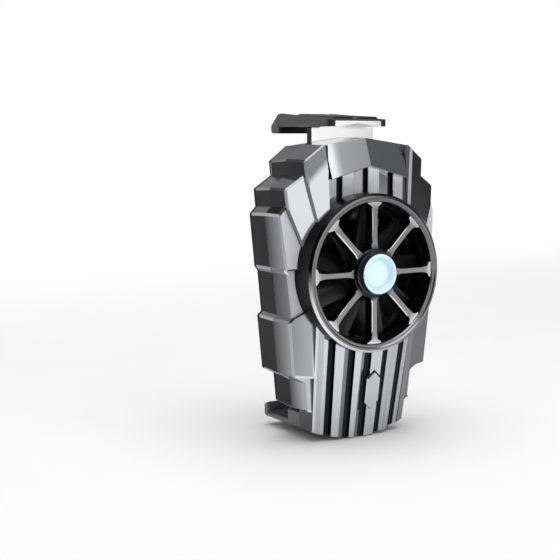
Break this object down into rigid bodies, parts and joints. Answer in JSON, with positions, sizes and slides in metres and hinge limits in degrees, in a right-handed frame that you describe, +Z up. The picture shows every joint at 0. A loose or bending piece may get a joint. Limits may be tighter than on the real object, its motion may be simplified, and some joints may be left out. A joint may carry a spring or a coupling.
{
  "type": "phone cooling fan",
  "caption": "Clip-on phone cooler with stepped silver housing, ring-guarded fan over a cooling plate, and a spring-loaded sliding hook that grips the phone's edge.",
  "frame": {"origin": "where the fan's axis meets the cold plate's face, which lies on the phone's back", "axes": "+Z up towards the sliding hook, +Y into the phone, the fan faces -Y, +X to the viewer's right"},
  "size_m": [0.046, 0.0352, 0.0786],
  "materials": {
    "silver_shell": "electroplated silver, high gloss",
    "jaw_grey": "satin dark grey",
    "black_silicone": "matte",
    "grey_rubber": "soft matte",
    "cold_aluminium": "brushed",
    "fin_aluminium": "milled",
    "white_ceramic": "ceramic",
    "screw_steel": "zinc plated",
    "black_gloss": "piano black",
    "guard_chrome": "bright plated",
    "lamp_lens": "frosted, lit from behind",
    "board_green": "solder mask",
    "fan_black": "fine moulded",
    "sleeve_brass": "sintered",
    "coil_copper": "enamelled wire",
    "magnet_dark": "ferrite",
    "switch_black": "moulded",
    "groove_navy": "satin",
    "arm_chrome": "bright plated"
  },
  "bodies": {
    "housing": {"front_shell": "silver_shell", "rear_shell": "silver_shell", "lower_jaw": "jaw_grey", "jaw_pad": "black_silicone", "back_pad": "black_silicone", "cold_plate": "cold_aluminium", "thermoelectric_module": "white_ceramic", "heat_sink": "fin_aluminium", "heat_sink_screws": "screw_steel", "fan_bezel": "black_gloss", "guard_spider": "guard_chrome", "hub_lens": "lamp_lens", "led_board": "board_green", "fan_frame": "fan_black", "fan_screws": "screw_steel", "bearing_sleeve": "sleeve_brass", "stator": "coil_copper", "circuit_board": "board_green", "usb_socket": "screw_steel", "tact_switch": "switch_black", "upper_inlays": "groove_navy", "lower_inlays": "groove_navy", "clip_rods": "screw_steel", "left_spring": "screw_steel", "right_spring": "screw_steel", "case_screws": "screw_steel", "jaw_screws": "screw_steel"},
    "impeller": {"rotor": "fan_black", "rotor_shaft": "screw_steel", "magnet_ring": "magnet_dark"},
    "clip": {"clip_arm": "arm_chrome", "hook_cap": "grey_rubber", "hook_pad": "black_silicone"},
    "button": {"power_button": "silver_shell"}
  },
  "joints": [
    {"name": "fan_spin", "type": "hinge", "parent": "housing", "child": "impeller", "pos_m": [0, -0.013, 0], "axis": [0, -1, 0], "continuous": true},
    {"name": "clip_slide", "type": "slide", "parent": "housing", "child": "clip", "axis": [0, 0, 1], "range_m": [-0.002, 0.009], "stiffness_N_per_m": 120, "deforming": ["left_spring", "right_spring"]},
    {"name": "button_press", "type": "slide", "parent": "housing", "child": "button", "axis": [0, 0.987, 0.1607], "range_m": [0, 0.0005], "stiffness_N_per_m": 300}
  ]
}
